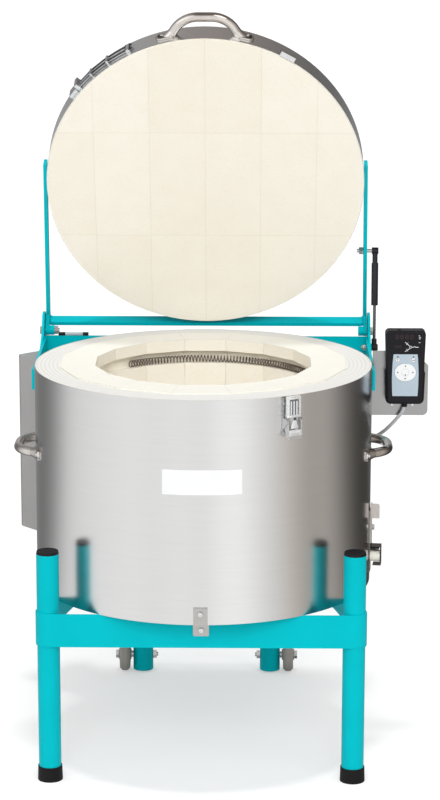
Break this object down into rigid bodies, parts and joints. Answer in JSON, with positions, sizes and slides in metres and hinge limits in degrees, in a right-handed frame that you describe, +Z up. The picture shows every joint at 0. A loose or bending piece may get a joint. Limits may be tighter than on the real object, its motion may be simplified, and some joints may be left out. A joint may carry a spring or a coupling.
{
  "type": "pottery kiln",
  "caption": "Round brick-lined top-loading kiln with its hinged lid open, on a low wheeled stand, with a latch, handles, an air vent, a switch box and a controller.",
  "frame": {"origin": "bottom centre of the whole kiln with its lid open, on the floor", "axes": "+Z up, +X to the right of someone in front, +Y to the back, where the hinge is"},
  "size_m": [0.9358, 0.8677, 1.613],
  "materials": {
    "stainless": "brushed",
    "zinc": "satin",
    "polished_steel": "polished",
    "teal_paint": "satin",
    "black_paint": "satin",
    "grey_paint": "satin",
    "fire_brick": "matte",
    "fibre_board": "matte",
    "vent_ceramic": "matte",
    "heating_wire": "matte",
    "black_plastic": "matte",
    "grey_plastic": "matte",
    "white_plastic": "satin",
    "red_plastic": "satin",
    "window_glass": "gloss",
    "black_rubber": "matte"
  },
  "bodies": {
    "kiln": {"base_board": "fibre_board", "box_standoffs": "zinc", "cable_gland": "grey_plastic", "cable_relief": "black_plastic", "casing_base": "stainless", "casing_jacket": "stainless", "clamp_bracket": "zinc", "controller_cable": "grey_plastic", "controller_case": "black_plastic", "controller_cradle": "black_plastic", "controller_plate": "stainless", "controller_window": "window_glass", "fibre_lining": "fibre_board", "floor_bricks": "fire_brick", "front_leg_left": "teal_paint", "front_leg_right": "teal_paint", "gas_spring_foot_stud": "zinc", "heating_element_lower": "heating_wire", "heating_element_middle": "heating_wire", "heating_element_top": "heating_wire", "hinge_bracket": "teal_paint", "latch_base": "zinc", "leg_caps": "black_plastic", "leg_feet": "black_rubber", "lid_switch": "black_plastic", "pivot_bolts": "zinc", "rear_leg_left": "teal_paint", "rear_leg_right": "teal_paint", "side_handle_left": "polished_steel", "side_handle_right": "polished_steel", "stand_hoop": "teal_paint", "switch_box": "grey_paint", "switch_box_cover": "grey_paint", "vent_strip": "stainless", "vent_stud": "zinc", "vent_tube": "vent_ceramic", "wall_bricks_lower": "fire_brick", "wall_bricks_middle": "fire_brick", "wall_bricks_top": "fire_brick", "wheel_axles": "zinc"},
    "lid": {"lid_bricks": "fire_brick", "lid_cover": "stainless", "lid_band": "stainless", "lid_frame": "teal_paint", "lid_handle": "polished_steel", "lid_keeper": "zinc", "band_tensioner": "zinc", "gas_spring_lid_stud": "zinc"},
    "gas_spring_rod_body": {"gas_spring_rod": "polished_steel"},
    "gas_spring_tube_body": {"gas_spring_tube": "black_paint"},
    "wheel_left_body": {"wheel_left": "black_rubber"},
    "wheel_right_body": {"wheel_right": "black_rubber"},
    "latch_lever_body": {"latch_lever": "zinc"},
    "latch_bail_body": {"latch_bail": "zinc"},
    "vent_cap_body": {"vent_cap": "stainless"},
    "key_left_body": {"key_left": "white_plastic"},
    "key_right_body": {"key_right": "white_plastic"},
    "nav_pad_body": {"nav_pad": "white_plastic"},
    "select_key_body": {"select_key": "white_plastic"},
    "power_button_body": {"power_button": "red_plastic"}
  },
  "joints": [
    {"name": "lid_hinge", "type": "hinge", "parent": "kiln", "child": "lid", "pos_m": [-0.029, 0.317, 0.858], "axis": [1, 0, 0], "range_deg": [0, 70.5]},
    {"name": "gas_spring_foot", "type": "hinge", "parent": "kiln", "child": "gas_spring_rod_body", "pos_m": [0.3608, 0.268, 0.83], "axis": [1, 0, 0], "range_deg": [-0.5, 71.45]},
    {"name": "gas_spring_stroke", "type": "slide", "parent": "gas_spring_rod_body", "child": "gas_spring_tube_body", "axis": [0, 0.0766, 0.9971], "range_m": [-0.06563, 0.0005]},
    {"name": "wheel_left_spin", "type": "hinge", "parent": "kiln", "child": "wheel_left_body", "pos_m": [-0.22715, 0.39, 0.04], "axis": [1, 0, 0], "continuous": true},
    {"name": "wheel_right_spin", "type": "hinge", "parent": "kiln", "child": "wheel_right_body", "pos_m": [0.16915, 0.39, 0.04], "axis": [1, 0, 0], "continuous": true},
    {"name": "latch_lever_swing", "type": "hinge", "parent": "kiln", "child": "latch_lever_body", "pos_m": [0.163, -0.39455, 0.812], "axis": [-0.866, -0.5, 0], "range_deg": [0, 90]},
    {"name": "latch_bail_swing", "type": "hinge", "parent": "latch_lever_body", "child": "latch_bail_body", "pos_m": [0.15985, -0.3891, 0.8], "axis": [0.866, 0.5, 0], "range_deg": [0, 90]},
    {"name": "vent_cap_swing", "type": "hinge", "parent": "kiln", "child": "vent_cap_body", "pos_m": [0.34082, -0.10741, 0.504], "axis": [0.9925, -0.1219, 0], "range_deg": [0, 75]},
    {"name": "key_left_press", "type": "slide", "parent": "kiln", "child": "key_left_body", "axis": [0, 1, 0], "range_m": [0, 0.001], "stiffness_N_per_m": 400, "springref_m": -0.001},
    {"name": "key_right_press", "type": "slide", "parent": "kiln", "child": "key_right_body", "axis": [0, 1, 0], "range_m": [0, 0.001], "stiffness_N_per_m": 400, "springref_m": -0.001},
    {"name": "nav_pad_press", "type": "slide", "parent": "kiln", "child": "nav_pad_body", "axis": [0, 1, 0], "range_m": [0, 0.001], "stiffness_N_per_m": 400, "springref_m": -0.001},
    {"name": "select_key_press", "type": "slide", "parent": "kiln", "child": "select_key_body", "axis": [0, 1, 0], "range_m": [0, 0.001], "stiffness_N_per_m": 400, "springref_m": -0.001},
    {"name": "power_button_press", "type": "slide", "parent": "kiln", "child": "power_button_body", "axis": [0, 0, -1], "range_m": [0, 0.001], "stiffness_N_per_m": 400, "springref_m": -0.001}
  ],
  "couplings": [
    {"joint": "gas_spring_foot", "follows": "lid_hinge", "ratio": 1.0064},
    {"joint": "gas_spring_stroke", "follows": "lid_hinge", "m_per_rad": -0.052928},
    {"joint": "latch_bail_swing", "follows": "latch_lever_swing", "ratio": 1}
  ]
}
